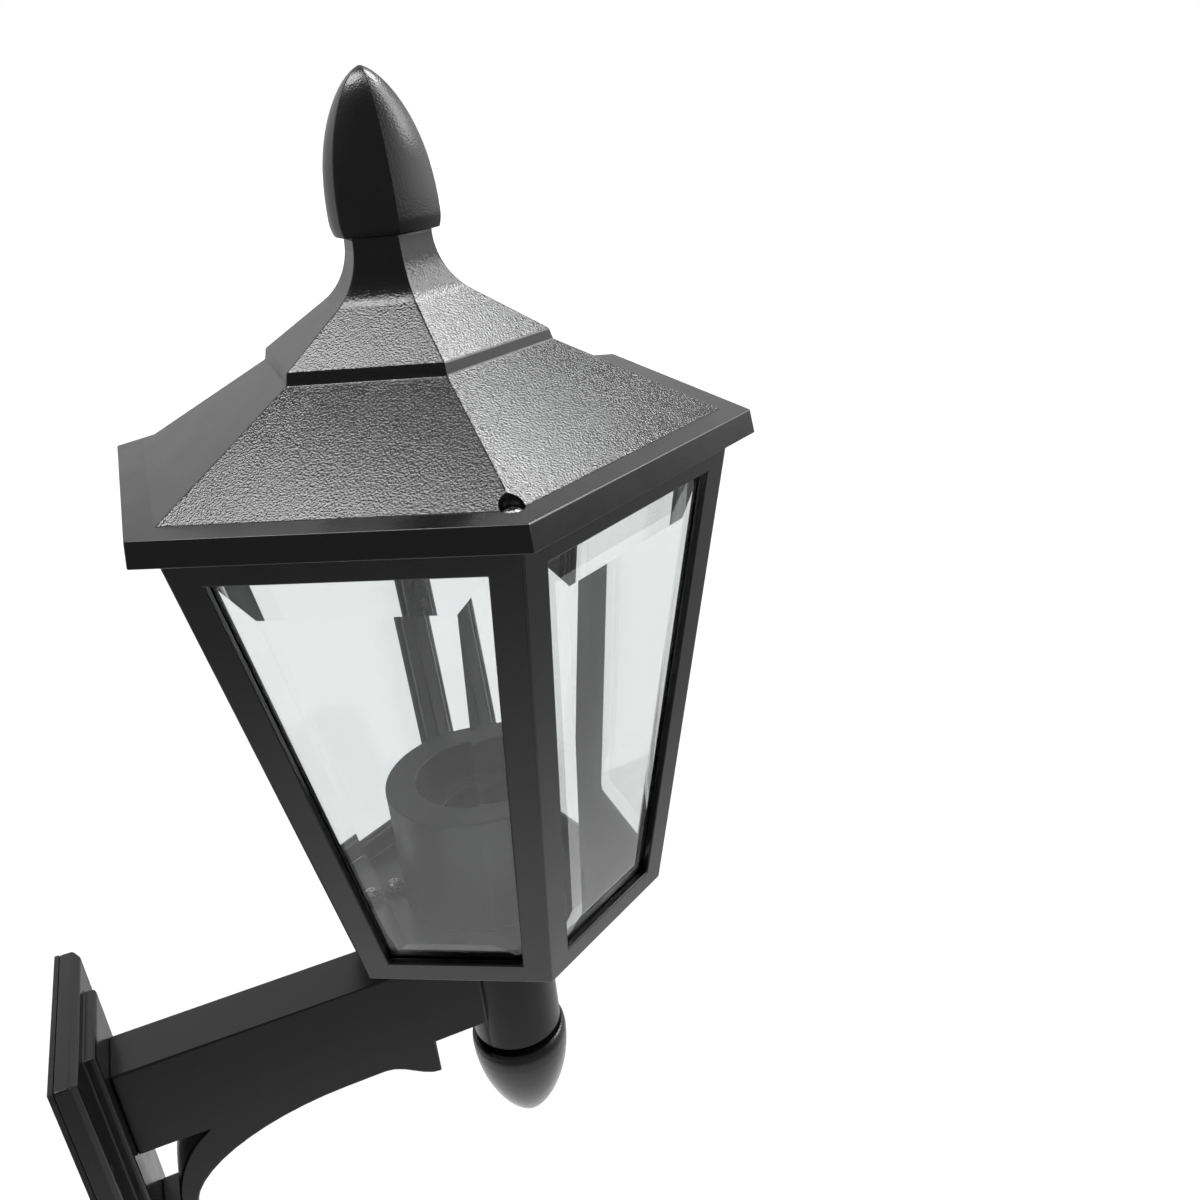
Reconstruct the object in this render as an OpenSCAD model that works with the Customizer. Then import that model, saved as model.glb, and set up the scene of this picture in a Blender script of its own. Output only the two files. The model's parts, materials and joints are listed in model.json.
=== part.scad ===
// Outdoor wall lantern: a six-sided glazed lantern on a stem, carried by a
// box-section arm with a curved brace that stands out from a wall plate.
// Origin: centre of the wall plate's back on the wall. +Z up, +Y into the wall.

/* [Bracket] */
// Distance from the wall to the lantern's axis
axis_out = 150; // [130:1:180]
// Height of the stem, from its foot up to the lantern's underside
stem_h = 68.6; // [60:0.2:90]
// Radius of the stem
stem_r = 16.8; // [15.5:0.1:20]
// Wall of the hollow stem and arm
cast_t = 2.5; // [2:0.1:3]
// Width of the arm
arm_w = 20; // [18:0.5:26]
// Height of the arm
arm_h = 36; // [33:0.5:42]
// Height of the arm's underside above the stem's foot
arm_low = 12; // [10:0.5:16]
// Reach of the wall brace below the arm
brace_drop = 44; // [40:0.5:50]
// Thickness of the brace's band above its foot
brace_t = 5.5; // [4.5:0.1:7]
// Depth of the blunt scroll end that the brace has near the stem
tail_drop = 14.5; // [11:0.5:17]

/* [Wall plate] */
// Width of the wall plate
plate_w = 66; // [60:1:80]
// Height of the wall plate
plate_h = 140; // [134:1:170]
// Distance from the wall to the plate's front
plate_out = 8; // [7.5:0.1:10]
// Height of the raised pad on the plate's front
pad_out = 4; // [3.5:0.1:5]
// Width of the raised pad
pad_w = 34; // [30:1:40]
// Sheet thickness of the wall plate
plate_t = 2.5; // [2:0.1:3]
// Thickness of the seal between plate and wall
seal_t = 1.5; // [1:0.1:2]
// Distance between the two wall screw holes
wall_hole_pitch = 48; // [46:0.5:50]
// Radius of a wall screw hole
wall_hole_r = 2.75; // [2.25:0.05:3.2]

/* [Lantern frame] */
// Corner radius of the frame at its foot
frame_low_r = 60.6; // [58:0.2:70]
// Corner radius of the frame where the roof's rim begins
frame_top_r = 92.3; // [86:0.2:94]
// Height of the frame from its foot to the roof's rim
frame_h = 161.4; // [140:0.2:190]
// Width of a post on each side of its corner
post_w = 9; // [8.4:0.1:11]
// Depth of the posts and rails
post_depth = 7.5; // [7.2:0.1:8.5]
// Thickness of the lip in front of a pane's groove
lip_t = 2.5; // [2:0.1:2.8]
// Height of the rail above a pane
top_rail = 9; // [8:0.1:12]
// Height of the rail below a pane
low_rail = 8; // [7.4:0.1:11]
// Thickness of the frame's floor
floor_t = 3; // [2.5:0.1:4]
// Height of the frame's collar inside the roof's rim
collar_h = 2; // [1.5:0.1:2.5]

/* [Panes] */
// Thickness of a pane in its middle
pane_t = 4; // [3.6:0.1:4.2]
// Thickness of a pane at its ground edge
pane_edge_t = 2; // [1.6:0.1:2.4]
// Width of the bevel along the sides and the foot
bevel_w = 11; // [8:0.5:14]
// Width of the bevel along the top
bevel_top = 13.5; // [9:0.5:18]
// How far a pane's edge reaches behind the frame's lip
pane_lap = 2.5; // [2:0.1:2.8]

/* [Roof] */
// How far the roof's rim stands out past the frame at a corner
rim_out = 7.7; // [6.5:0.1:20]
// Height of the rim
rim_h = 7; // [6.2:0.1:10]
// Wall thickness of the rim and the roof
roof_t = 2.5; // [2:0.1:3]
// Flat brim between the rim's outer edge and the lower slope
brim_w = 8.6; // [8:0.2:10.5]
// Corner radius of the step between the lower and the upper slope
step_r = 43.9; // [38:0.2:50]
// Height of the lower slope
slope_h = 23.3; // [18:0.5:30]
// Height of the step
step_h = 3.2; // [2.5:0.1:4.5]
// Height of the upper, hollow-sided roof from the step to the neck's top
crown_h = 29.9; // [28:0.1:34]
// Slope of the upper roof at its foot, in degrees
crown_slope = 31; // [27:0.5:33]
// Corner radius of the neck
neck_r = 13; // [12:0.2:15]
// Distance from the frame's corner in to a roof screw
roof_screw_in = 4.6; // [4.1:0.1:5.1]
// Radius of the round pocket that a roof screw sinks into
pocket_r = 3.2; // [3:0.05:3.5]

/* [Finials] */
// Greatest corner radius of the six-sided top finial
finial_r = 16.3; // [15.4:0.1:20]
// Height of the top finial
finial_h = 42; // [36:0.5:55]
// Height of the finial's widest place above its foot
finial_belly = 4.2; // [3:0.2:7]
// How far the finial's faces swell out, from flat at 0 to fully round at 1
finial_swell = 0.5; // [0:0.05:0.9]
// Greatest radius of the round finial under the stem
drop_r = 18.4; // [17.6:0.1:22]
// Height of the round finial under the stem
drop_h = 46; // [38:0.5:60]
// Thickness of the ring between the stem and its finial
collar_t = 3; // [2:0.1:4]

/* [Lamp holder] */
// Outer radius of the cup around the lamp holder
cup_r = 31; // [28:0.5:34]
// Radius of the cup's bore
cup_bore_r = 20.5; // [19.5:0.1:22]
// Height of the cup above the floor
cup_h = 43.4; // [41:0.2:50]
// Wall of the hollow cup
cup_t = 2.6; // [2:0.1:3]
// Distance from the cup's mouth down to the lamp holder
holder_recess = 14; // [10:0.5:15]
// Radius of the lamp holder's threaded bore
socket_r = 13.4; // [13.2:0.05:13.6]
// Depth of the lamp holder's threaded bore
socket_depth = 19; // [17:0.5:19]

/* [Hidden] */
$fn = 48;

// Shared clearances
gap = 0.3;          // between a loose piece and its seat's side
thread_gap = 0.05;  // round a screw in the hole that it is driven into
shank_gap = 0.3;    // round a screw in the hole that it passes through
cut = 1;            // how far a cut runs past a surface

// Colours
black = "#1b1b1d";
satin = "#2a2a2c";
grey = "#565659";
clear = [0.85, 0.9, 0.92, 0.35];
steel = "#c8c9cb";
brass = "#c9a24a";
rubber = "#161616";

// Lantern: levels above the wall plate's centre
rim_z = stem_h + frame_h;
lean = atan((frame_top_r - frame_low_r) * cos(30) / frame_h);
face_len = frame_h / cos(lean);
collar_z = frame_h + collar_h;
function frame_r(z) = frame_low_r + (frame_top_r - frame_low_r) * z / frame_h;
function face_half(y) = frame_r(y * cos(lean)) / 2;

// Panes: each one slides down into its groove, which the roof's seal closes at the top
crown_t = pane_t - pane_edge_t;
pane_set = lip_t + crown_t * pane_lap / bevel_w + 0.1;
pane_back = pane_set + pane_edge_t;
groove_back = pane_back + 0.15;
pane_top = face_len - top_rail + pane_lap - gap;

// Roof: levels above the rim's lower edge
rim_r = frame_top_r + rim_out;
roof_screw_out = frame_top_r - roof_screw_in;
rim_draft = 1.1;
brim_rise = 0.6;
seat_z = collar_h + 1;
gasket_w = 6;
brim_r = rim_r - rim_draft - brim_w;
slope_z = rim_h + brim_rise;
step_z = slope_z + slope_h;
crown_z = step_z + step_h;
step_set = 0.9;
neck_z = crown_z + crown_h;
neck_straight = 1;
hollow_r = frame_r(collar_z) - post_depth / cos(30);
slope_angle = atan(slope_h / (brim_r - step_r));
crown_r = step_r - step_set;
sweep_r = (crown_h - neck_straight - tan(crown_slope) * (crown_r - neck_r))
          / (cos(crown_slope) - tan(crown_slope) * (1 - sin(crown_slope)));
sweep_steps = 14;
ceiling_r = neck_r + 7;
ceiling_z = round(10 * (crown_z + (crown_r - ceiling_r) * tan(crown_slope) - roof_t / cos(crown_slope))) / 10;

// Screws: shank radius, head radius, head height
m3 = [1.5, 2.75, 2.2];
m4 = [2, 3.6, 2.4];
roof_screw_len = 9;
pocket_z = seat_z + 2.2;
bolt_r = 3;
bolt_head_r = 5.77;
bolt_head_h = 4;
bolt_grip = 20;
finial_steps = 20;
swell_steps = 6;

// Stem and rod
rod_r = 5;
rod_bore_r = 3.2;
rod_grip = 18;
washer_r = 9;
washer_t = 1;
nut_r = 8.1;
nut_h = 4;
rod_tail = 0.8;
web_t = 3;
lead_r = 1.1;
lead_x = 3;
lead_out = 11.3;
lead_bend = 5;
lead_z = arm_low + arm_h / 2;
slot_w = 2 * (lead_x + lead_r) + 2;
slot_d = 2 * lead_r + 1;

// Wall plate
plate_bevel = 2;
pad_face = plate_out + pad_out;
boss_r = 3.9;
boss_len = 16;
screw_bite = 12;
top_boss_z = arm_low + arm_h - cast_t - boss_r + 0.5;
low_boss_z = arm_low + cast_t + boss_r - 0.5;
pad_h = plate_h - 12;
cable_z = -42;
cable_r = 8;
block_w = 17;
block_h = 2 * (top_boss_z - lead_z - m4[1]) - 1;
block_d = pad_face - plate_t - seal_t - 0.5;

// Brace outline, measured from the stem's axis and the arm's underside
tail_out = 33.5;
tail_len = 20;
band_drop = 5;
brace_flat = 68;
foot_h = 10;
foot_len = 12;
eye_w = 26;
eye_rise = 2;
foot_bite = 7;
brace_end = axis_out - pad_face;
brace_bend = brace_end - foot_len - brace_flat;
brace_fall = brace_drop - foot_h;
foot_screw_z = arm_low - brace_drop + foot_h / 2;
bracket_levels = [[top_boss_z, screw_bite], [low_boss_z, screw_bite], [foot_screw_z, foot_bite]];

// Lamp holder: levels above the frame's floor
cup_ear_out = cup_r + 3.5;
cup_ear_r = 4;
cup_ear_t = 2;
holder_top = cup_h - holder_recess;
holder_low = holder_top - socket_depth - 3.6;
contact_w = 4;
contact_t = 1.2;

module at_lantern() { translate([0, -axis_out, stem_h]) children(); }

module at_rim() { translate([0, -axis_out, rim_z]) children(); }

// Round hole cutter; its seam is turned away from the edges that meet at a corner
module bore(r, h) { rotate([0, 0, 25]) cylinder(r = r, h = h, $fn = 32); }

// Six-sided solid whose corner radius follows a profile of [radius, height] points,
// taken to a hundredth so that each level starts where the one below it ends
module hex_loft(profile) {
    level = [for (p = profile) [round(100 * p[0]) / 100, round(100 * p[1]) / 100]];
    for (i = [0:len(level) - 2]) translate([0, 0, level[i][1]])
        cylinder(r1 = level[i][0], r2 = level[i + 1][0], h = level[i + 1][1] - level[i][1], $fn = 6);
}

// Six-sided solid on the same kind of profile, whose faces swell out between their ridges
module swollen_loft(profile, swell) {
    sides = 6 * swell_steps;
    turn = [for (k = [0:sides - 1]) 360 * k / sides];
    flat = [for (a = turn) cos(30) / cos(a - 60 * floor(a / 60) - 30)];
    rings = len(profile);
    point = [for (p = profile) for (k = [0:sides - 1]) let (r = p[0] * (flat[k] + swell * (1 - flat[k])))
        [r * cos(turn[k]), r * sin(turn[k]), p[1]]];
    wall = [for (i = [0:rings - 2]) for (k = [0:sides - 1]) let (n = (k + 1) % sides, low = i * sides)
        for (side = [[low + k, low + sides + k, low + n], [low + n, low + sides + k, low + sides + n]]) side];
    foot = [for (k = [0:sides - 1]) k];
    head = [for (k = [sides - 1:-1:0]) (rings - 1) * sides + k];
    polyhedron(points = point, faces = concat(wall, [foot, head]));
}

module hex_ring(outer, inner, low, high) {
    difference() {
        hex_loft([[outer, low], [outer, high]]);
        hex_loft([[inner, low - cut], [inner, high + cut]]);
    }
}

// Pan-head screw along -Z with its head's seat at z = 0 and a cross recess
module pan_screw(size, length) {
    head_r = size[1];
    head_h = size[2];
    difference() {
        union() {
            translate([0, 0, -length]) cylinder(r = size[0], h = length + head_h / 2);
            rotate_extrude() polygon([[0, 0], [head_r, 0], [head_r, head_h * 0.45],
                                      [head_r * 0.86, head_h * 0.78], [head_r * 0.5, head_h], [0, head_h]]);
        }
        for (turn = [0, 90])
            rotate([0, 0, turn]) translate([-head_r * 0.55, -head_r * 0.12, head_h * 0.4])
                cube([head_r * 1.1, head_r * 0.24, head_h]);
    }
}

// Frame of one of the six faces: x along the face, y up its slope, z outwards
module on_face(side) {
    rotate([0, 0, 30 + 60 * side]) translate([frame_low_r * cos(30), 0, 0])
        rotate([0, lean, 0]) rotate([90, 0, 90]) children();
}

// Face outline of the visible opening, with its sides and foot grown, up to the height high
function light_outline(grow, high) =
    let (low = low_rail - grow)
    [[-face_half(low) + post_w - grow, low], [face_half(low) - post_w + grow, low],
     [face_half(high) - post_w + grow, high], [-face_half(high) + post_w - grow, high]];

module lantern_frame() {
    color(black) at_lantern() difference() {
        hex_loft([[frame_r(0), 0], [frame_r(collar_z), collar_z]]);
        hex_loft([[frame_r(floor_t) - post_depth / cos(30), floor_t], [hollow_r, collar_z],
                  [hollow_r, collar_z + cut]]);
        for (side = [0:5]) on_face(side) {
            translate([0, 0, -2 * post_depth]) linear_extrude(height = 2 * post_depth + cut)
                polygon(light_outline(0, face_len - top_rail));
            translate([0, 0, -groove_back]) linear_extrude(height = groove_back - lip_t)
                polygon(light_outline(pane_lap, collar_z / cos(lean) + 2 * cut));
        }
        for (side = [-1, 1]) translate([side * roof_screw_out, 0, collar_z - roof_screw_len])
            bore(m3[0] + thread_gap, roof_screw_len + cut);
        translate([0, 0, -cut]) bore(rod_r + shank_gap, floor_t + 2 * cut);
        translate([-slot_w / 2, lead_out - slot_d / 2, -cut]) cube([slot_w, slot_d, floor_t + 2 * cut]);
        for (turn = [76, 196, 316]) rotate([0, 0, turn]) translate([cup_ear_out, 0, -cut])
            bore(m3[0] + thread_gap, floor_t + 2 * cut);
    }
}

// One bevelled pane: flat inside, ground bevels outside
module pane(side) {
    edge = light_outline(pane_lap - gap, pane_top);
    lean_in = (face_half(face_len) - face_half(0)) / face_len;
    low = edge[0][1] + bevel_w;
    high = edge[2][1] - bevel_top;
    low_half = edge[1][0] + lean_in * bevel_w - bevel_w * norm([1, lean_in]);
    high_half = edge[2][0] - lean_in * bevel_top - bevel_w * norm([1, lean_in]);
    crown = [[-low_half, low], [low_half, low], [high_half, high], [-high_half, high]];
    points = concat([for (p = edge) [p[0], p[1], -pane_back]], [for (p = edge) [p[0], p[1], -pane_set]],
                    [for (p = crown) [p[0], p[1], pane_t - pane_back]]);
    walls = [for (ring = [0, 4], i = [0:3]) [ring + i, ring + 4 + i, ring + 4 + (i + 1) % 4, ring + (i + 1) % 4]];
    color(clear) at_lantern() on_face(side)
        polyhedron(points, concat([[0, 1, 2, 3]], walls, [[11, 10, 9, 8]]));
}

// Outer profile of the roof from the rim's lower edge to the neck
function roof_profile() =
    concat([[rim_r, 0], [rim_r - rim_draft, rim_h], [brim_r, slope_z], [step_r, step_z], [crown_r, crown_z]],
           [for (i = [0:sweep_steps]) let (a = (90 - crown_slope) * (1 - i / sweep_steps))
               [neck_r + sweep_r * (1 - cos(a)), neck_z - neck_straight - sweep_r * sin(a)]],
           [[neck_r, neck_z]]);

// Hollow under the roof, offset from the slopes by the wall
function hollow_profile() =
    let (drop = roof_t / cos(slope_angle), crown_drop = roof_t / cos(crown_slope),
         foot = step_r - roof_t, shelf = crown_r - roof_t)
    [[hollow_r, seat_z - cut],
     [hollow_r, slope_z + (brim_r - hollow_r) * tan(slope_angle) - drop],
     [foot, step_z + (step_r - foot) * tan(slope_angle) - drop],
     [shelf, crown_z + (crown_r - shelf) * tan(crown_slope) - crown_drop],
     [ceiling_r, ceiling_z]];

module roof() {
    color(black) at_rim() difference() {
        hex_loft(roof_profile());
        difference() {
            hex_loft(hollow_profile());
            for (side = [-1, 1]) translate([side * roof_screw_out, 0, seat_z])
                bore(pocket_r + 1.6, slope_h);
        }
        hex_loft([[rim_r - roof_t / cos(30), -cut], [rim_r - rim_draft - roof_t / cos(30), seat_z]]);
        for (side = [-1, 1]) translate([side * roof_screw_out, 0, 0]) {
            translate([0, 0, pocket_z]) bore(pocket_r, slope_h);
            bore(m3[0] + shank_gap, slope_h);
        }
        translate([0, 0, ceiling_z - cut]) cylinder(r = bolt_r + shank_gap, h = neck_z - ceiling_z + 2 * cut);
    }
}

module roof_screws() {
    color(steel) at_rim() for (side = [-1, 1])
        translate([side * roof_screw_out, 0, pocket_z]) rotate([0, 0, 35])
            pan_screw(m3, pocket_z - collar_h + roof_screw_len - 1);
}

module rim_gasket() {
    outer = hollow_r + gasket_w + 1;
    color(rubber) at_rim() difference() {
        hex_ring(outer, outer - gasket_w, collar_h, seat_z);
        for (side = [-1, 1]) translate([side * roof_screw_out, 0, 0])
            cylinder(r = m3[0] + shank_gap, h = seat_z + cut, $fn = 24);
    }
}

// Six-sided acorn: swelling foot, then a full curve that closes to a point
function finial_profile() =
    concat([for (i = [0:3]) [finial_r - 0.9 * pow(1 - i / 3, 2), finial_belly * i / 3]],
           [for (i = [1:finial_steps]) let (t = 1 - pow(1 - i / finial_steps, 1.7))
               [max(finial_r * pow(1 - pow(t, 2.2), 0.67), 0.4), finial_belly + (finial_h - finial_belly) * t]]);

module roof_finial() {
    color(satin) at_rim() translate([0, 0, neck_z]) difference() {
        swollen_loft(finial_profile(), finial_swell);
        translate([0, 0, -cut]) cylinder(r = bolt_r + thread_gap, h = bolt_grip + cut);
    }
}

module finial_bolt() {
    color(steel) at_rim() union() {
        translate([0, 0, ceiling_z - bolt_head_h]) cylinder(r = bolt_head_r, h = bolt_head_h, $fn = 6);
        translate([0, 0, ceiling_z - 0.5]) cylinder(r = bolt_r, h = neck_z - ceiling_z + bolt_grip - 0.5);
    }
}

// Round bullet under the stem, hanging from its flat top at z = 0
module drop_finial() {
    belly = 4;
    outline = concat([[0, 0], [drop_r - 0.9, 0], [drop_r - 0.3, -1]],
                     [for (i = [0:16]) let (t = 1 - pow(1 - i / 16, 1.7))
                         [drop_r * pow(1 - pow(t, 1.95), 0.74), -belly - (drop_h - belly) * t]]);
    color(satin) translate([0, -axis_out, -collar_t]) difference() {
        rotate_extrude($fn = 96) polygon(outline);
        translate([0, 0, -rod_grip - cut]) cylinder(r = rod_r + thread_gap, h = rod_grip + 2 * cut);
    }
}

module drop_collar() {
    color(black) translate([0, -axis_out, -collar_t]) difference() {
        union() {
            cylinder(r = stem_r - cast_t, h = collar_t);
            cylinder(r = stem_r - cast_t - 0.15, h = 2 * collar_t);
        }
        translate([0, 0, -cut]) cylinder(r = rod_r + shank_gap, h = 2 * collar_t + 2 * cut);
    }
}

module hollow_rod() {
    low = -collar_t - rod_grip;
    top = stem_h + floor_t + washer_t + nut_h + rod_tail;
    color(steel) translate([0, -axis_out, low]) difference() {
        cylinder(r = rod_r, h = top - low);
        translate([0, 0, -cut]) cylinder(r = rod_bore_r, h = top - low + 2 * cut);
    }
}

module rod_washer() {
    color(steel) at_lantern() translate([0, 0, floor_t]) difference() {
        cylinder(r = washer_r, h = washer_t);
        translate([0, 0, -cut]) cylinder(r = rod_r + shank_gap, h = washer_t + 2 * cut);
    }
}

module rod_nut() {
    color(steel) at_lantern() translate([0, 0, floor_t + washer_t]) difference() {
        cylinder(r = nut_r, h = nut_h, $fn = 6);
        translate([0, 0, -cut]) cylinder(r = rod_r + thread_gap, h = nut_h + 2 * cut);
    }
}

// Side outline of the brace: scroll end, bent band and foot, with an open eye at
// the wall end. x runs from the stem's axis to the wall, y up from the arm's underside.
module brace_outline() {
    steps = 12;
    tail = [for (i = [0:steps / 2]) let (s = 2 * i / steps)
        [tail_out + tail_len * s, -tail_drop + (tail_drop - band_drop) * (1 - cos(180 * s)) / 2]];
    bend = [for (i = [0:steps]) let (a = 90 * i / steps)
        [brace_flat + brace_bend * sin(a), -band_drop - (brace_fall - band_drop) * (1 - cos(a))]];
    heel = [for (i = [1:steps / 2]) let (a = 180 * i / steps)
        [brace_end - foot_len + foot_h * (1 - cos(a)), -brace_fall - foot_h * sin(a)]];
    eye_x = brace_end - foot_len + brace_t - eye_w;
    eye = [for (i = [0:steps]) let (a = 90 * i / steps)
        [eye_x + eye_w * cos(a), -brace_fall + (brace_fall + eye_rise) * sin(a)]];
    difference() {
        polygon(concat([[tail_out, cast_t], [tail_out, -tail_drop + 1]], tail, bend, heel,
                       [[brace_end, -brace_drop], [brace_end, cast_t]]));
        polygon(concat(eye, [[eye_x, brace_drop], [brace_end + cut, brace_drop], [brace_end + cut, -brace_fall]]));
    }
}

module arm_bracket() {
    color(black) union() {
        difference() {
            union() {
                translate([0, -axis_out, 0]) cylinder(r = stem_r, h = stem_h, $fn = 96);
                translate([-arm_w / 2, -axis_out, arm_low]) cube([arm_w, axis_out - pad_face, arm_h]);
            }
            translate([0, -axis_out, -cut]) cylinder(r = stem_r - cast_t, h = stem_h - web_t + cut, $fn = 96);
            translate([cast_t - arm_w / 2, -axis_out, arm_low + cast_t])
                cube([arm_w - 2 * cast_t, axis_out, arm_h - 2 * cast_t]);
            translate([0, -axis_out, 0]) cylinder(r = rod_r + shank_gap, h = stem_h + cut);
            translate([-slot_w / 2, lead_out - slot_d / 2 - axis_out, 0]) cube([slot_w, slot_d, stem_h + cut]);
        }
        difference() {
            union() {
                for (level = [top_boss_z, low_boss_z])
                    translate([0, -pad_face, level]) rotate([90, 0, 0]) cylinder(r = boss_r, h = boss_len);
                translate([-arm_w / 2, -axis_out, arm_low]) rotate([90, 0, 90])
                    linear_extrude(height = arm_w) brace_outline();
            }
            for (screw = bracket_levels) translate([0, cut - pad_face, screw[0]]) rotate([90, 0, 0])
                cylinder(r = m4[0] + thread_gap, h = screw[1] - plate_t + 1 + cut, $fn = 24);
        }
    }
}

// Bevelled block standing out of the wall, w wide, h high, from y = 0 to y = -out
module bevel_block(w, h, out, bevel) {
    rotate([90, 0, 0]) intersection() {
        translate([-w / 2, -h / 2, 0]) cube([w, h, out]);
        rotate([90, 0, 0]) linear_extrude(height = 2 * h, center = true)
            polygon([[-w / 2, 0], [w / 2, 0], [w / 2, out - bevel], [w / 2 - bevel, out],
                     [bevel - w / 2, out], [-w / 2, out - bevel]]);
        rotate([0, 90, 0]) linear_extrude(height = 2 * w, center = true)
            polygon([[0, -h / 2], [0, h / 2], [bevel - out, h / 2], [-out, h / 2 - bevel],
                     [-out, bevel - h / 2], [bevel - out, -h / 2]]);
    }
}

module wall_plate() {
    color(black) difference() {
        union() {
            translate([0, -seal_t, 0]) bevel_block(plate_w, plate_h, plate_out - seal_t, plate_bevel);
            translate([0, -seal_t, 0]) bevel_block(pad_w, pad_h, pad_face - seal_t, plate_bevel / 2);
        }
        translate([plate_t - plate_w / 2, plate_t - plate_out, plate_t - plate_h / 2])
            cube([plate_w - 2 * plate_t, plate_out, plate_h - 2 * plate_t]);
        translate([plate_t - pad_w / 2, plate_t - pad_face, plate_t - pad_h / 2])
            cube([pad_w - 2 * plate_t, pad_face, pad_h - 2 * plate_t]);
        for (side = [-1, 1]) translate([side * wall_hole_pitch / 2, 0, 0]) rotate([90, 0, 0])
            cylinder(r = wall_hole_r, h = pad_face + cut);
        for (screw = bracket_levels) translate([0, 0, screw[0]]) rotate([90, 0, 0])
            cylinder(r = m4[0] + shank_gap, h = pad_face + cut, $fn = 24);
        translate([-slot_w / 2, -pad_face - cut, lead_z - slot_d / 2]) cube([slot_w, pad_face + cut, slot_d]);
        translate([-pad_w / 2 - m4[1] - 2, 0, lead_z]) rotate([90, 0, 0])
            cylinder(r = m4[0] + thread_gap, h = plate_out - 0.8, $fn = 24);
    }
}

// Sheet seal behind the plate, with holes for the wall screws and the mains cable
module wall_gasket() {
    color(rubber) rotate([90, 0, 0]) difference() {
        translate([-plate_w / 2, -plate_h / 2, 0]) cube([plate_w, plate_h, seal_t]);
        for (side = [-1, 1]) translate([side * wall_hole_pitch / 2, 0, -cut])
            cylinder(r = wall_hole_r + shank_gap, h = seal_t + 2 * cut);
        translate([0, cable_z, -cut]) cylinder(r = cable_r, h = seal_t + 2 * cut);
    }
}

module bracket_screws() {
    color(steel) for (screw = bracket_levels)
        translate([0, plate_t - pad_face, screw[0]]) rotate([-90, 0, 0]) pan_screw(m4, screw[1]);
}

module earth_screw() {
    color(brass) translate([-pad_w / 2 - m4[1] - 2, plate_t - plate_out, lead_z]) rotate([-90, 0, 0])
        pan_screw(m4, plate_t - 1);
}

module terminal_block() {
    color("#d8d6cf") difference() {
        translate([-block_w / 2, plate_t - pad_face, lead_z - block_h / 2]) cube([block_w, block_d, block_h]);
        for (side = [-1, 1]) translate([side * lead_x, -seal_t, lead_z - block_h / 4]) rotate([90, 0, 0])
            cylinder(r = 1.4, h = 4, $fn = 24);
        for (side = [-1, 1]) translate([side * lead_x, plate_t - pad_face - cut, lead_z]) rotate([-90, 0, 0])
            cylinder(r = lead_r + thread_gap, h = 3 + cut, $fn = 24);
    }
}

module terminal_screws() {
    color(brass) for (side = [-1, 1])
        translate([side * lead_x, -seal_t - 2, lead_z - block_h / 4]) rotate([90, 0, 0])
            cylinder(r = 1.3, h = 1.8, $fn = 24);
}

// One insulated lead from the terminal block through arm and stem to the lamp holder
module lead(side) {
    turn_y = lead_out - axis_out;
    end_z = stem_h + floor_t + holder_low;
    translate([side * lead_x, 0, 0]) union() {
        translate([0, turn_y + lead_bend, lead_z]) rotate([-90, 0, 0])
            cylinder(r = lead_r, h = -turn_y - lead_bend - pad_face + plate_t + 2.5, $fn = 24);
        translate([0, turn_y + lead_bend, lead_z + lead_bend]) rotate([0, -90, 0])
            rotate([0, 0, 180]) rotate_extrude(angle = 90) translate([lead_bend, 0]) circle(r = lead_r, $fn = 24);
        translate([0, turn_y, lead_z + lead_bend]) cylinder(r = lead_r, h = end_z - lead_z - lead_bend, $fn = 24);
    }
}

module lead_live() { color("#6b3d22") lead(-1); }

module lead_neutral() { color("#2f63a8") lead(1); }

// Double-walled cup with three screw ears at its foot
module holder_cup() {
    color(grey) at_lantern() translate([0, 0, floor_t]) difference() {
        union() {
            cylinder(r = cup_r, h = cup_h, $fn = 96);
            for (turn = [76, 196, 316]) rotate([0, 0, turn]) translate([cup_ear_out, 0, 0])
                cylinder(r = cup_ear_r, h = cup_ear_t);
        }
        translate([0, 0, -cut]) cylinder(r = cup_bore_r, h = cup_h + 2 * cut, $fn = 96);
        difference() {
            translate([0, 0, -cut]) cylinder(r = cup_r - cup_t, h = cup_h - cup_t + cut);
            translate([0, 0, -2 * cut]) cylinder(r = cup_bore_r + cup_t, h = cup_h + 2 * cut);
        }
        for (turn = [76, 196, 316]) rotate([0, 0, turn]) translate([cup_ear_out, 0, -cut])
            cylinder(r = m3[0] + shank_gap, h = cup_ear_t + 2 * cut, $fn = 24);
    }
}

module cup_screws() {
    color(steel) at_lantern() for (turn = [76, 196, 316]) rotate([0, 0, turn])
        translate([cup_ear_out, 0, floor_t + cup_ear_t]) pan_screw(m3, cup_ear_t + floor_t - 0.2);
}

module lamp_holder() {
    height = holder_top - holder_low;
    color("#8a8a88") at_lantern() translate([0, 0, floor_t + holder_low]) difference() {
        cylinder(r = cup_bore_r - 0.1, h = height, $fn = 96);
        translate([0, 0, height - socket_depth]) cylinder(r = socket_r, h = socket_depth + cut, $fn = 96);
        translate([-contact_w, -contact_w / 2 - 0.1, height - socket_depth - contact_t - 0.2])
            cube([2 * contact_w, contact_w + 0.2, contact_t + 0.2 + cut]);
        for (turn = [60, 240]) rotate([0, 0, turn])
            translate([socket_r - cut, -contact_w / 2 - 0.1, height - socket_depth + 4])
                cube([contact_t + 0.3 + cut, contact_w + 0.2, socket_depth - 4 - 1]);
    }
}

module centre_contact() {
    color(brass) at_lantern() translate([0.2 - contact_w, -contact_w / 2, floor_t + holder_top - socket_depth - contact_t - 0.2])
        cube([2 * contact_w - 0.4, contact_w, contact_t]);
}

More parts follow.
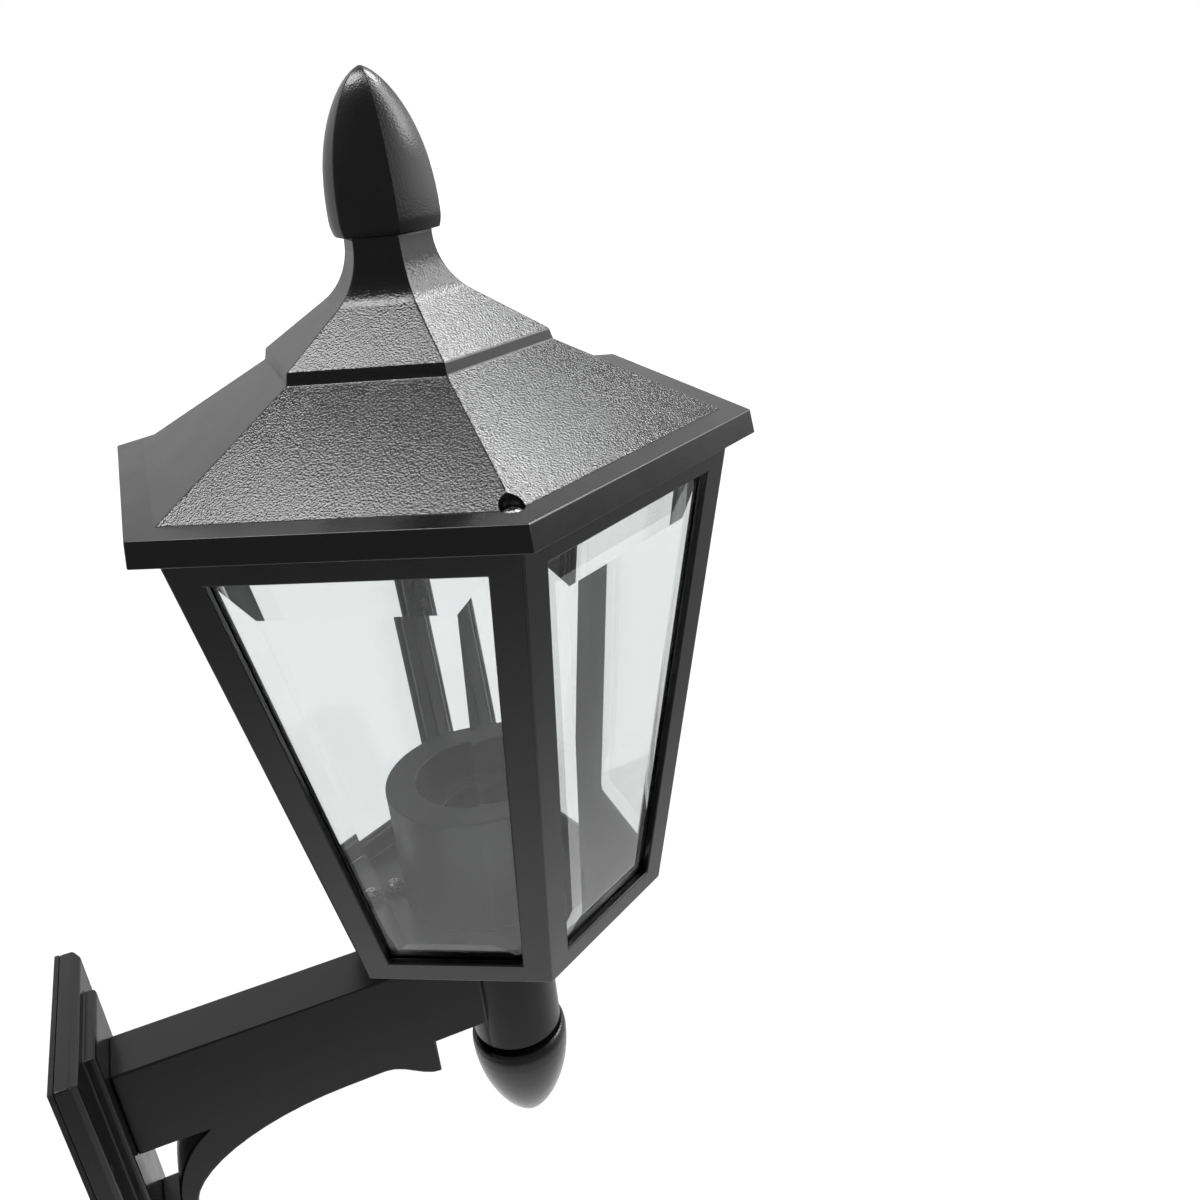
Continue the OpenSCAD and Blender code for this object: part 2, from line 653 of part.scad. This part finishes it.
module side_contacts() {
    color(brass) at_lantern() for (turn = [60, 240]) rotate([0, 0, turn])
        translate([socket_r + 0.2, -contact_w / 2, floor_t + holder_top - socket_depth + 4.1])
            cube([contact_t, contact_w, socket_depth - 4 - 1.3]);
}

wall_gasket();
wall_plate();
arm_bracket();
bracket_screws();
terminal_block();
terminal_screws();
earth_screw();
lead_live();
lead_neutral();
hollow_rod();
rod_washer();
rod_nut();
drop_collar();
drop_finial();
lantern_frame();
pane(0);  // pane_1
pane(1);  // pane_2
pane(2);  // pane_3
pane(3);  // pane_4
pane(4);  // pane_5
pane(5);  // pane_6
holder_cup();
cup_screws();
lamp_holder();
centre_contact();
side_contacts();
rim_gasket();
roof();
roof_screws();
roof_finial();
finial_bolt();
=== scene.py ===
import json
import math

import bmesh
import bpy
from mathutils import Euler, Matrix, Vector


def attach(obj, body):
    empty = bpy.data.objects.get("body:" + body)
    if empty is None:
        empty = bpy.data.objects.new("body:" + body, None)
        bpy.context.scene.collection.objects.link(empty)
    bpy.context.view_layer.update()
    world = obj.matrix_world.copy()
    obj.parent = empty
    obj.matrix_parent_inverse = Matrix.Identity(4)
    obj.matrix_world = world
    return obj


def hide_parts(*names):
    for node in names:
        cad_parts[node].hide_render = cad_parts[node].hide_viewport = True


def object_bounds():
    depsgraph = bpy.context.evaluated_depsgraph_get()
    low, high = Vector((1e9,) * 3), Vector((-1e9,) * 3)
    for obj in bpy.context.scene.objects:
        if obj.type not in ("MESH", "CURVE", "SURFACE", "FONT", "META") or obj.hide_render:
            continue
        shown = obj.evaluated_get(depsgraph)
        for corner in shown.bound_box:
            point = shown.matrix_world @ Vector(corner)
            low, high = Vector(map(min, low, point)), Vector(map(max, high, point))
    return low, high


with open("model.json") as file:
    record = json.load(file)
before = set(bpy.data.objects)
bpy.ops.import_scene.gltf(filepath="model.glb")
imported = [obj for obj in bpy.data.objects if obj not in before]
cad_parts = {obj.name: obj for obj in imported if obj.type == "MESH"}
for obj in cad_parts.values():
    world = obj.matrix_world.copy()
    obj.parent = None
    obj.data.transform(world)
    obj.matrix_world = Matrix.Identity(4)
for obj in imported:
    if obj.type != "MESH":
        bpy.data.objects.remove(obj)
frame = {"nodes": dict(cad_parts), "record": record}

CAD_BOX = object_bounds()
MM = 0.001
NODES = frame["nodes"]
ROOF_NODES = ("roof", "roof_screws", "roof_finial", "finial_bolt")

# ---------------------------------------------------------------- camera

CAMERA_PLACE = Vector((-322.1, -81.9, 323.1)) * MM
CAMERA_TURN = [math.radians(a) for a in (65.31, 5.33, -112.92)]
CAMERA_LENS = 33.01      # on a sensor 36 wide


def add_camera():
    data = bpy.data.cameras.new("photo_camera")
    data.lens = CAMERA_LENS
    data.sensor_width = 36
    data.clip_start = 0.01
    data.clip_end = 50
    camera = bpy.data.objects.new("photo_camera", data)
    camera.location = CAMERA_PLACE
    camera.rotation_euler = Euler(CAMERA_TURN)
    bpy.context.collection.objects.link(camera)
    bpy.context.scene.camera = camera


# ---------------------------------------------------------------- materials

class Finish:
    """One material: a Principled shader with a few procedural nodes in front of it."""

    def __init__(self, name, **sockets):
        self.material = bpy.data.materials.new(name)
        self.material.use_nodes = True
        self.tree = self.material.node_tree
        self.shader = self.tree.nodes["Principled BSDF"]
        for socket, value in sockets.items():
            self.shader.inputs[socket.replace("_", " ")].default_value = value
        self.place = self.tree.nodes.new("ShaderNodeTexCoord").outputs["Object"]

    def node(self, kind, settings=(), **inputs):
        made = self.tree.nodes.new("ShaderNode" + kind)
        for key, value in dict(settings).items():
            setattr(made, key, value)
        for socket, value in inputs.items():
            self.feed(made.inputs[socket.replace("_", " ")], value)
        return made

    def feed(self, socket, value):
        if isinstance(value, bpy.types.NodeSocket):
            self.tree.links.new(value, socket)
        else:
            socket.default_value = value

    def noise(self, size, detail):
        """Noise between 0 and 1 whose blobs are about size across."""
        return self.node("TexNoise", Vector=self.place, Scale=1 / size,
                         Detail=detail, Roughness=0.5).outputs["Fac"]

    def span(self, value, low, high, start=0.3, end=0.7):
        """value mapped from start..end onto low..high."""
        return self.node("MapRange", Value=value, From_Min=start, From_Max=end,
                         To_Min=low, To_Max=high).outputs["Result"]

    def mix(self, share, first, second):
        made = self.node("Mix", {"data_type": "RGBA"})
        for index, value in ((0, share), (6, first), (7, second)):
            self.feed(made.inputs[index], value)
        return made.outputs[2]

    def bump(self, height, depth):
        """Surface relief of height times depth."""
        return self.node("Bump", Height=height, Distance=depth, Strength=1.0).outputs["Normal"]


def grey(value):
    return (value, value, value, 1)


def coat(name, tone, gloss, grain, depth):
    """Black powder coat: a fine relief of the given grain, with slow changes of gloss."""
    paint = Finish(name, IOR=1.5)
    paint.feed(paint.shader.inputs["Base Color"],
               paint.mix(paint.noise(9 * MM, 4), grey(tone * 0.8), grey(tone * 1.25)))
    paint.feed(paint.shader.inputs["Roughness"],
               paint.span(paint.noise(14 * MM, 5), gloss - 0.03, gloss + 0.05))
    paint.feed(paint.shader.inputs["Normal"], paint.bump(paint.noise(grain, 1), depth))
    return paint.material


def glass(name):
    paint = Finish(name, Base_Color=(0.86, 0.87, 0.87, 1), IOR=1.5, Transmission_Weight=1.0)
    paint.feed(paint.shader.inputs["Roughness"],
               paint.span(paint.noise(22 * MM, 6), 0.0, 0.012, 0.5, 0.8))
    paint.feed(paint.shader.inputs["Normal"], paint.bump(paint.noise(40 * MM, 1), 0.01 * MM))
    return paint.material


def plastic(name, colour, rough):
    paint = Finish(name)
    darker = [c * 0.82 for c in colour] + [1]
    paint.feed(paint.shader.inputs["Base Color"],
               paint.mix(paint.noise(7 * MM, 4), darker, list(colour) + [1]))
    paint.feed(paint.shader.inputs["Roughness"],
               paint.span(paint.noise(5 * MM, 4), rough - 0.05, rough + 0.06))
    paint.feed(paint.shader.inputs["Normal"], paint.bump(paint.noise(0.35 * MM, 2), 0.01 * MM))
    return paint.material


def metal(name, colour, rough):
    paint = Finish(name, Metallic=1.0)
    dull = [c * 0.7 for c in colour] + [1]
    paint.feed(paint.shader.inputs["Base Color"],
               paint.mix(paint.noise(2 * MM, 6), dull, list(colour) + [1]))
    paint.feed(paint.shader.inputs["Roughness"],
               paint.span(paint.noise(0.8 * MM, 5), rough - 0.08, rough + 0.1))
    paint.feed(paint.shader.inputs["Normal"], paint.bump(paint.noise(0.15 * MM, 2), 0.004 * MM))
    return paint.material


MATERIALS = {
    "grained_coat": coat("grained_coat", 0.006, 0.12, 0.58 * MM, 0.09 * MM),
    "black_coat": coat("black_coat", 0.006, 0.22, 1.1 * MM, 0.012 * MM),
    "satin_coat": coat("satin_coat", 0.006, 0.2, 0.6 * MM, 0.055 * MM),
    "clear_glass": glass("clear_glass"),
    "holder_plastic": plastic("holder_plastic", (0.05, 0.05, 0.051), 0.42),
    "holder_insert": plastic("holder_insert", (0.09, 0.09, 0.09), 0.4),
    "terminal_plastic": plastic("terminal_plastic", (0.62, 0.61, 0.57), 0.4),
    "lead_brown": plastic("lead_brown", (0.13, 0.05, 0.02), 0.45),
    "lead_blue": plastic("lead_blue", (0.02, 0.09, 0.28), 0.45),
    "seal_rubber": plastic("seal_rubber", (0.012, 0.012, 0.012), 0.7),
    "steel": metal("steel", (0.62, 0.62, 0.63), 0.24),
    "brass": metal("brass", (0.75, 0.54, 0.22), 0.3),
}


# ---------------------------------------------------------------- pieces

BRIM_TOP = 237.65 * MM               # heights on the roof, between which its faces lie
STEP_LOW, STEP_HIGH = 261 * MM, 264 * MM
NECK_TOP = 290 * MM

SAME_PLACE = 0.002 * MM              # corners closer than this are one corner
FLAT_ANGLE = math.radians(0.5)       # faces that turn less than this are one face
EDGE_ANGLE = math.radians(20)        # faces that turn more than this meet in an edge
BEVEL_STEPS = 3


def body_of(node):
    return "roof" if node in ROOF_NODES else "lantern"


def slot_of(node):
    return next(part["material_slot"] for part in frame["record"]["subparts"]
                if part["node"] == node)


def softened(node, radius, shortest):
    """A copy of a node's solid with its edges rounded, which stands for that node.

    Edges shorter than shortest stay sharp, so that a small hole doesn't upset the rest."""
    mesh = NODES[node].data.copy()
    mesh.name = node + "_finished"
    bm = bmesh.new()
    bm.from_mesh(mesh)
    bmesh.ops.remove_doubles(bm, verts=bm.verts, dist=SAME_PLACE)
    bmesh.ops.dissolve_limit(bm, angle_limit=FLAT_ANGLE, verts=bm.verts, edges=bm.edges)
    weight = bm.edges.layers.float.new("bevel_weight_edge")
    for face in bm.faces:
        face.smooth = True
    for edge in bm.edges:
        if edge.calc_face_angle(0) > EDGE_ANGLE:
            edge.smooth = False
            edge[weight] = 1.0 if edge.calc_length() >= shortest else 0.0
    bm.to_mesh(mesh)
    bm.free()
    piece = bpy.data.objects.new(node + "_finished", mesh)
    bpy.context.collection.objects.link(piece)
    bevel = piece.modifiers.new("round", "BEVEL")
    bevel.width = radius
    bevel.segments = BEVEL_STEPS
    bevel.limit_method = "WEIGHT"
    bevel.use_clamp_overlap = False
    shade = piece.modifiers.new("shade", "WEIGHTED_NORMAL")
    shade.mode = "FACE_AREA"
    shade.weight = 50
    shade.keep_sharp = True
    finish_piece(piece, node)
    return piece


def finish_piece(piece, node):
    """Freeze the piece's modifiers, give it the node's finish and body."""
    bpy.context.view_layer.update()
    seen = piece.evaluated_get(bpy.context.evaluated_depsgraph_get())
    mesh = bpy.data.meshes.new_from_object(seen)
    piece.modifiers.clear()
    piece.data = mesh
    mesh.materials.clear()
    mesh.materials.append(MATERIALS[slot_of(node)])
    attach(piece, body_of(node))
    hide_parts(node)


def smooth_off_slopes(roof):
    """Only the lower slope and the swept crown carry the grain: the rest is smooth coat."""
    roof.data.materials.append(MATERIALS["black_coat"])
    for face in roof.data.polygons:
        z = face.center.z
        grained = face.normal.z > 0.02 and BRIM_TOP < z < NECK_TOP and not STEP_LOW < z < STEP_HIGH
        face.material_index = 0 if grained else 1


# Edge radius of each rounded piece, and the shortest edge that is rounded
ROUNDED = {
    "roof": (0.35 * MM, 1.2 * MM),
    "lantern_frame": (0.5 * MM, 2 * MM),
    "arm_bracket": (0.7 * MM, 2 * MM),
    "wall_plate": (0.6 * MM, 2 * MM),
    "drop_collar": (0.3 * MM, 0),
    "roof_finial": (0.3 * MM, 0),
    "drop_finial": (0.4 * MM, 0),
    "holder_cup": (0.5 * MM, 0.3 * MM),
    "lamp_holder": (0.4 * MM, 0.3 * MM),
}

add_camera()
for name, (radius, shortest) in ROUNDED.items():
    piece = softened(name, radius, shortest)
    if name == "roof":
        smooth_off_slopes(piece)
for name, node in NODES.items():
    if name not in ROUNDED:
        node.data.materials.clear()
        node.data.materials.append(MATERIALS[slot_of(name)])


# ---------------------------------------------------------------- stage and light

FLOOR_DROP = 150 * MM
FLOOR_R = 14.0
FLOOR_FADE = (1.2, 6)               # from here to there out, the floor turns from pale to white
LIT = Vector((0, -0.15, 0.24))      # what the soft boxes are aimed at
BOX_AXIS = Vector((0.8, -0.6, 0))   # level direction that the boxes are squared to
BOX_DISTANCE = 40.0

# Of each soft box: degrees from straight up, degrees from +X toward +Y, half its width in
# degrees across its two axes, and how bright it is
SOFT_BOXES = {
    "box_left": (22, 55, (7.5, 11), 12),
    "box_right": (39.7, -58, (4.8, 8.5), 17.5),
    "box_side": (53, -88, (8, 18.5), 6),
    "box_top": (4, -40, (9, 9), 4.5),
}


def add_soft_box(name, zenith, azimuth, half_widths, radiance):
    """A far area light that faces the lantern and is as bright as radiance all over."""
    zenith, azimuth = math.radians(zenith), math.radians(azimuth)
    away = Vector((math.sin(zenith) * math.cos(azimuth),
                   math.sin(zenith) * math.sin(azimuth),
                   math.cos(zenith)))
    across = (BOX_AXIS - away * BOX_AXIS.dot(away)).normalized()
    data = bpy.data.lights.new(name, "AREA")
    data.shape = "RECTANGLE"
    data.size, data.size_y = (2 * BOX_DISTANCE * math.tan(math.radians(half))
                              for half in half_widths)
    data.energy = radiance * math.pi * data.size * data.size_y
    light = bpy.data.objects.new(name, data)
    turn = Matrix((across, away.cross(across), away)).transposed().to_4x4()
    light.matrix_world = Matrix.Translation(LIT + away * BOX_DISTANCE) @ turn
    bpy.context.collection.objects.link(light)


def add_floor():
    """A round pale floor, unseen by glossy surfaces, which take their light from the world."""
    bm = bmesh.new()
    bmesh.ops.create_circle(bm, cap_ends=True, segments=128, radius=FLOOR_R)
    mesh = bpy.data.meshes.new("floor")
    bm.to_mesh(mesh)
    bm.free()
    floor = bpy.data.objects.new("floor", mesh)
    floor.location.z = CAD_BOX[0][2] - FLOOR_DROP
    floor.visible_glossy = False
    bpy.context.collection.objects.link(floor)
    paint = Finish("floor_white", Roughness=0.9)
    near = paint.mix(paint.noise(0.4, 2), grey(0.76), grey(0.79))
    out = paint.node("VectorMath", {"operation": "LENGTH"}, Vector=paint.place).outputs["Value"]
    paint.feed(paint.shader.inputs["Base Color"],
               paint.mix(paint.span(out, 0, 1, *FLOOR_FADE), near, grey(1)))
    mesh.materials.append(paint.material)


def add_world():
    """White to the eye. As light: dim at -X where the photographer stands, brighter beyond,
    bright along the -Y horizon and pale straight below."""
    world = bpy.data.worlds.new("studio")
    world.use_nodes = True
    tree = world.node_tree

    def made(kind, *links, operation=None):
        node = tree.nodes.new("ShaderNode" + kind)
        if operation:
            node.operation = operation
        for socket, source in enumerate(links):
            if isinstance(source, bpy.types.NodeSocket):
                tree.links.new(source, node.inputs[socket])
            else:
                node.inputs[socket].default_value = source
        return node.outputs[0]

    along = made("SeparateXYZ", made("TexCoord")).node

    def ramp(axis, start, end, low, high):
        return made("MapRange", along.outputs[axis], start, end, low, high)

    beyond = made("Math", ramp("X", -0.3, 0.8, 0, 1), ramp("Z", 0.05, 0.45, 0.3, 0.65),
                  operation="MULTIPLY")
    aside = made("Math", ramp("Y", -0.6, -0.95, 0, 1), ramp("Z", -0.16, -0.03, 0.25, 1.8),
                 operation="MULTIPLY")
    below = ramp("Z", -0.62, -0.85, 0.18, 1.03)
    total = made("Math", made("Math", beyond, aside, operation="ADD"), below, operation="ADD")
    pick = tree.nodes.new("ShaderNodeMix")
    tree.links.new(made("LightPath"), pick.inputs[0])
    tree.links.new(total, pick.inputs[2])
    pick.inputs[3].default_value = 1.0
    background = tree.nodes["Background"]
    background.inputs["Color"].default_value = (1, 1, 1, 1)
    tree.links.new(pick.outputs[0], background.inputs["Strength"])
    bpy.context.scene.world = world
    bpy.context.scene.view_settings.view_transform = "Standard"


add_floor()
add_world()
for name, box in SOFT_BOXES.items():
    add_soft_box(name, *box)
